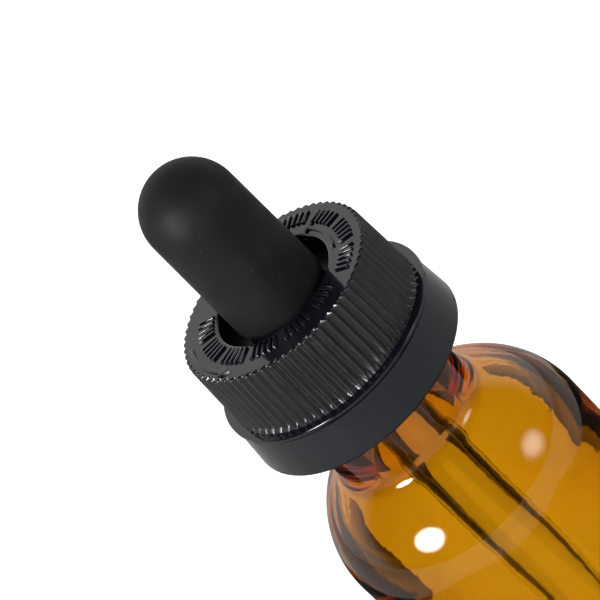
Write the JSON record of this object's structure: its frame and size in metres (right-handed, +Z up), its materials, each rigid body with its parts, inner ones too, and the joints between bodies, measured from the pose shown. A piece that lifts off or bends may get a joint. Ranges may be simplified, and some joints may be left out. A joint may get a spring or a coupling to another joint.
{
  "type": "dropper bottle",
  "caption": "Round amber glass bottle with a glass pipette dropper, a black rubber bulb and a ribbed push-and-turn closure.",
  "frame": {"origin": "centre of the bottle's base, on the surface it stands on", "axes": "+Z up along the bottle's axis, towards the bulb; +X to the right of the front view"},
  "size_m": [0.033, 0.033, 0.1037],
  "materials": {
    "amber_glass": "clear gloss",
    "clear_glass": "clear gloss",
    "black_rubber": "matt",
    "black_plastic": "satin to gloss",
    "inner_plastic": "satin"
  },
  "bodies": {
    "glass_bottle": {"bottle": "amber_glass"},
    "dropper_tube": {"pipette": "clear_glass"},
    "threaded_cap": {"inner_cap": "inner_plastic"},
    "squeeze_bulb": {"bulb": "black_rubber"},
    "push_shell": {"outer_shell": "black_plastic"}
  },
  "joints": [
    {"name": "dropper_lift", "type": "slide", "parent": "glass_bottle", "child": "dropper_tube", "axis": [0, 0, 1], "range_m": [0, 0.07303]},
    {"name": "cap_unscrew", "type": "hinge", "parent": "dropper_tube", "child": "threaded_cap", "pos_m": [0, 0, 0.079], "axis": [0, 0, 1], "range_deg": [0, 8280]},
    {"name": "overcap_turn", "type": "hinge", "parent": "dropper_tube", "child": "squeeze_bulb", "pos_m": [0, 0, 0.079], "axis": [0, 0, 1], "continuous": true},
    {"name": "push_down", "type": "slide", "parent": "squeeze_bulb", "child": "push_shell", "axis": [0, 0, -1], "range_m": [0, 0.00095], "stiffness_N_per_m": 1000}
  ],
  "couplings": [
    {"joint": "dropper_lift", "follows": "cap_unscrew", "m_per_rad": 0.00050532}
  ]
}
